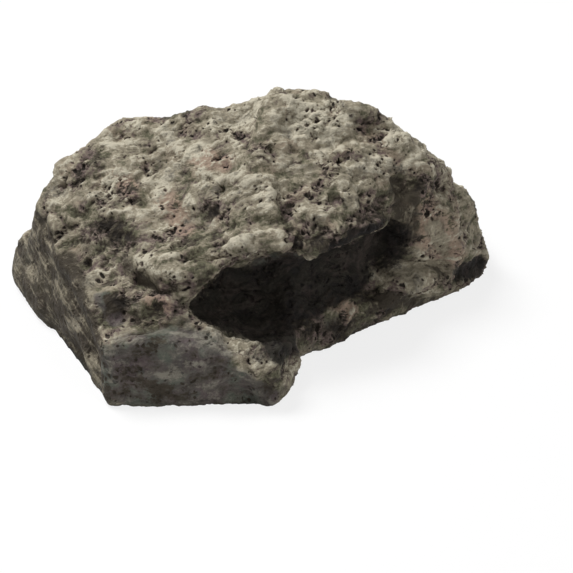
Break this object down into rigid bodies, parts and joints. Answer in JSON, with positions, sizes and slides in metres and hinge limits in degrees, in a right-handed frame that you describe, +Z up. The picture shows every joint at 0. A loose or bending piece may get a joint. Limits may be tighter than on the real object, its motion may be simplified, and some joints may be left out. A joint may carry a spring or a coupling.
{
  "type": "key rock",
  "caption": "Hollow artificial stone with a rough top, a dark cove under its brow and a flat base, holding a pull-out plastic key tray.",
  "frame": {"origin": "on the ground under the middle of the stone's bounding box", "axes": "+X along the key tray and the stone's length, +Y to the back, +Z up"},
  "size_m": [0.1096, 0.0848, 0.0499],
  "materials": {
    "cast_stone": "rough cast resin, painted and dry-brushed like granite",
    "tray_plastic": "satin, milky white polypropylene"
  },
  "bodies": {
    "rock": {"rock_shell": "cast_stone"},
    "tray": {"key_tray": "tray_plastic"}
  },
  "joints": [
    {"name": "tray_pull", "type": "slide", "parent": "rock", "child": "tray", "axis": [0, 0, -1], "range_m": [0, 0.045]}
  ]
}
